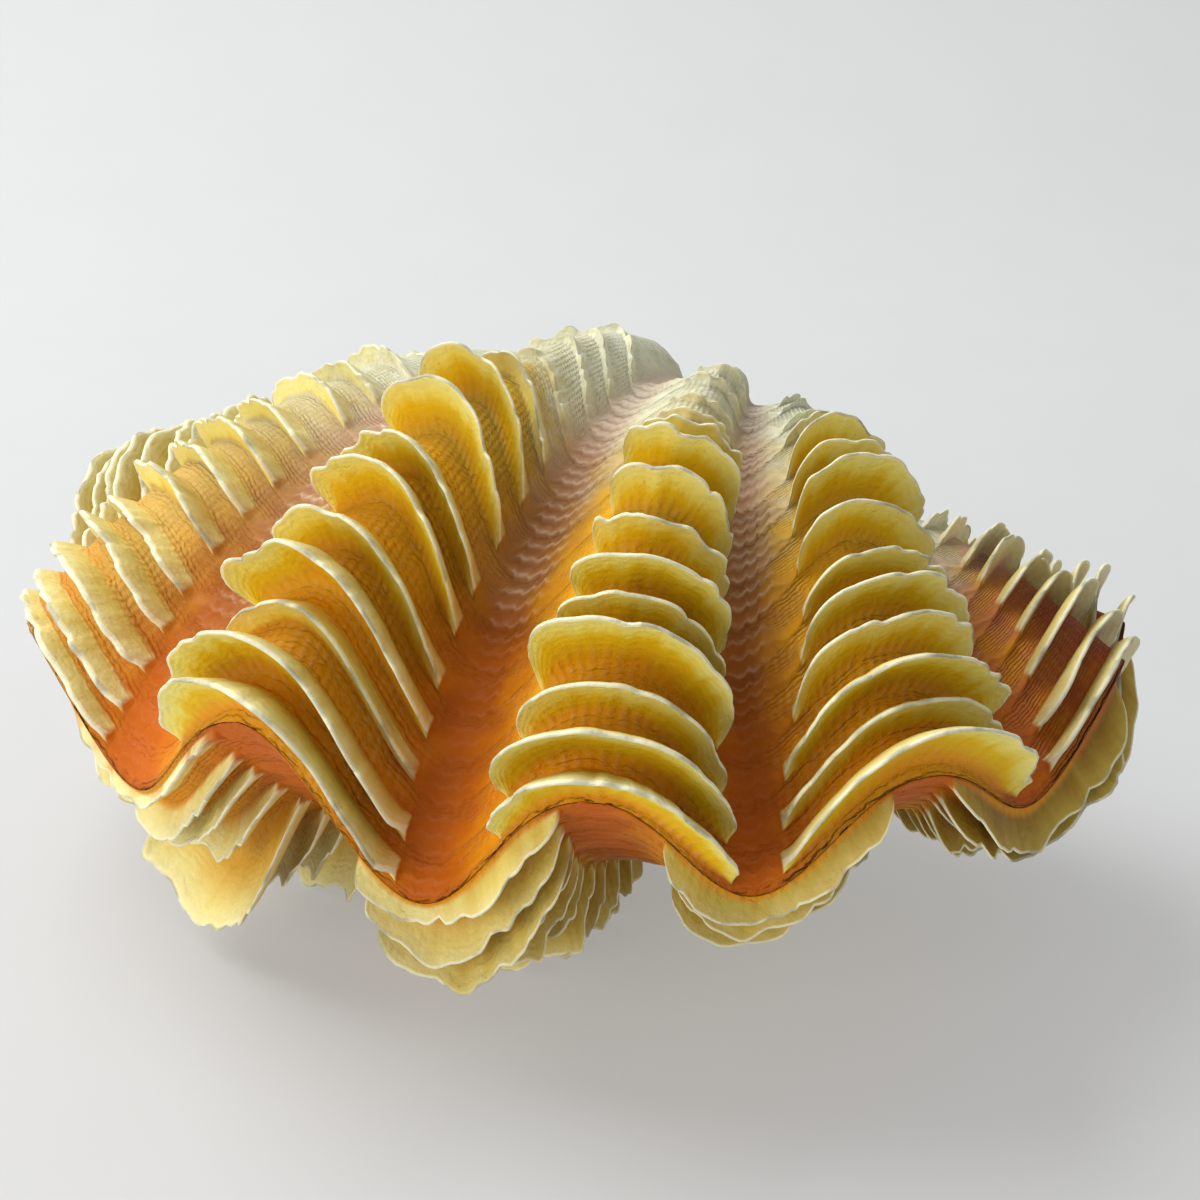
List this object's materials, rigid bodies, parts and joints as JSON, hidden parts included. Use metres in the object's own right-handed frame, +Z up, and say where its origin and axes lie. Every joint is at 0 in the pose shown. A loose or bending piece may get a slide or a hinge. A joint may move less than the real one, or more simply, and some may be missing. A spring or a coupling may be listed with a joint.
{
  "type": "giant clam shell",
  "caption": "Closed pair of fluted giant clam valves with deep rounded ribs and tall curved scutes, lying on the lower valve",
  "frame": {"origin": "centre of the bounding box in plan, on the surface that the shell stands on", "axes": "+X along the hinge line, the longest way of the shell; -Y toward the opening edge; +Z up"},
  "size_m": [0.295, 0.1964, 0.1462],
  "materials": {
    "upper_valve": "semi-matt shell, golden yellow scutes with cream edges over orange grooves",
    "lower_valve": "semi-matt shell, pale yellow to amber scutes with cream edges",
    "hinge_ligament": "dried horny ligament, dark brown, matt"
  },
  "bodies": {
    "root": {"upper_valve": "upper_valve", "lower_valve": "lower_valve", "hinge_ligament": "hinge_ligament"}
  },
  "joints": []
}
